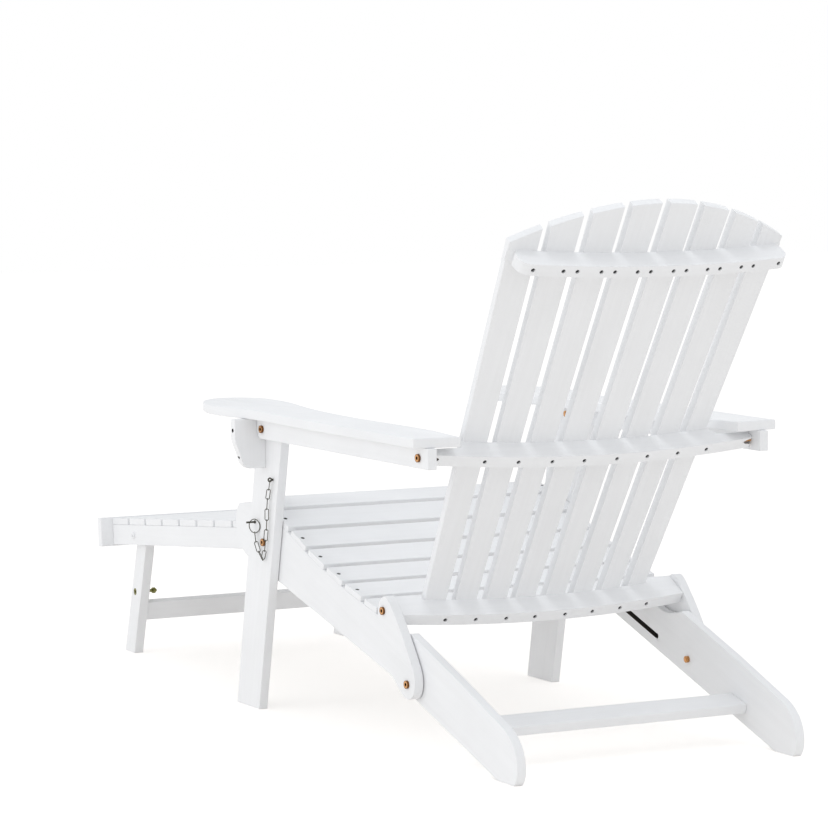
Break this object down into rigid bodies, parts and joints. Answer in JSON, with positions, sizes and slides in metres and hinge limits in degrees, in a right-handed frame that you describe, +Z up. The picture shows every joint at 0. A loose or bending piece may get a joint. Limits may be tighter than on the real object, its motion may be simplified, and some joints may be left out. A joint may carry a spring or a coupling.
{
  "type": "adirondack chair with pull-out footrest",
  "caption": "Low slatted garden armchair with a fanned reclined back, broad paddle arms and a slatted footrest that slides out from under the seat, in painted softwood",
  "frame": {"origin": "middle of the bounding box on the floor, with the footrest pulled out", "axes": "+X to the sitter's left, -Y to the front where the footrest points, +Z up"},
  "size_m": [0.726, 1.5744, 0.9016],
  "materials": {
    "paint": "white paint on planed softwood",
    "screw": "dark zinc",
    "bolt": "yellow zinc",
    "steel": "weathered zinc"
  },
  "bodies": {
    "chair": {"seat_rail_l": "paint", "seat_rail_r": "paint", "rear_leg_l": "paint", "rear_leg_r": "paint", "rear_stretcher": "paint", "seat_slat_1": "paint", "seat_slat_2": "paint", "seat_slat_3": "paint", "seat_slat_4": "paint", "seat_slat_5": "paint", "seat_slat_6": "paint", "seat_slat_7": "paint", "seat_screws": "screw", "frame_bolts": "bolt"},
    "back": {"back_slat_1": "paint", "back_slat_2": "paint", "back_slat_3": "paint", "back_slat_4": "paint", "back_slat_5": "paint", "back_slat_6": "paint", "back_slat_7": "paint", "back_slat_8": "paint", "bottom_brace": "paint", "middle_brace": "paint", "top_brace": "paint", "back_screws": "screw"},
    "front_legs": {"front_leg_l": "paint", "front_leg_r": "paint", "corbel_l": "paint", "corbel_r": "paint", "corbel_screws": "screw", "chain_eye": "steel", "chain": "steel", "arm_leg_bolts": "bolt"},
    "arms": {"arm_board_l": "paint", "arm_board_r": "paint", "arm_rail_l": "paint", "arm_rail_r": "paint", "arm_back_bolts": "bolt"},
    "footrest_guide": {"guide_bolts": "bolt"},
    "footrest": {"footrest_rail_l": "paint", "footrest_rail_r": "paint", "footrest_apron": "paint", "footrest_slat_1": "paint", "footrest_slat_2": "paint", "footrest_slat_3": "paint", "footrest_slat_4": "paint", "footrest_slat_5": "paint", "footrest_slat_6": "paint", "footrest_slat_7": "paint", "footrest_slat_8": "paint", "footrest_slat_9": "paint", "footrest_screws": "screw", "footrest_pivot_bolts": "bolt"},
    "footrest_legs": {"footrest_leg_l": "paint", "footrest_leg_r": "paint", "footrest_leg_stretcher": "paint", "footrest_leg_bolts": "bolt"},
    "lock_pin": {"lock_pin": "steel", "pin_ring": "steel"}
  },
  "joints": [
    {"name": "back_fold", "type": "hinge", "parent": "chair", "child": "back", "pos_m": [0, 0.38606, 0.225], "axis": [1, 0, 0], "range_deg": [0, 24]},
    {"name": "front_leg_fold", "type": "hinge", "parent": "chair", "child": "front_legs", "pos_m": [0, -0.01494, 0.294], "axis": [1, 0, 0], "range_deg": [0, 34.5]},
    {"name": "arm_fold", "type": "hinge", "parent": "front_legs", "child": "arms", "pos_m": [0, 0.01606, 0.493], "axis": [1, 0, 0], "range_deg": [-27.6, 0]},
    {"name": "footrest_slide", "type": "slide", "parent": "chair", "child": "footrest_guide", "axis": [0, 0.9482, -0.3177], "range_m": [0, 0.465]},
    {"name": "footrest_tilt", "type": "hinge", "parent": "footrest_guide", "child": "footrest", "pos_m": [0, -0.07094, 0.28989], "axis": [1, 0, 0], "range_deg": [-20.6, 0]},
    {"name": "footrest_leg_fold", "type": "hinge", "parent": "footrest", "child": "footrest_legs", "pos_m": [0, -0.67207, 0.23112], "axis": [1, 0, 0], "range_deg": [0, 98]},
    {"name": "lock_pin_pull", "type": "slide", "parent": "front_legs", "child": "lock_pin", "axis": [1, 0, 0], "range_m": [0, 0.045]}
  ],
  "couplings": [
    {"joint": "front_leg_fold", "follows": "back_fold", "ratio": 1.4328},
    {"joint": "arm_fold", "follows": "back_fold", "ratio": -1.1448},
    {"joint": "footrest_tilt", "follows": "footrest_slide", "rad_per_m": -0.76945}
  ]
}
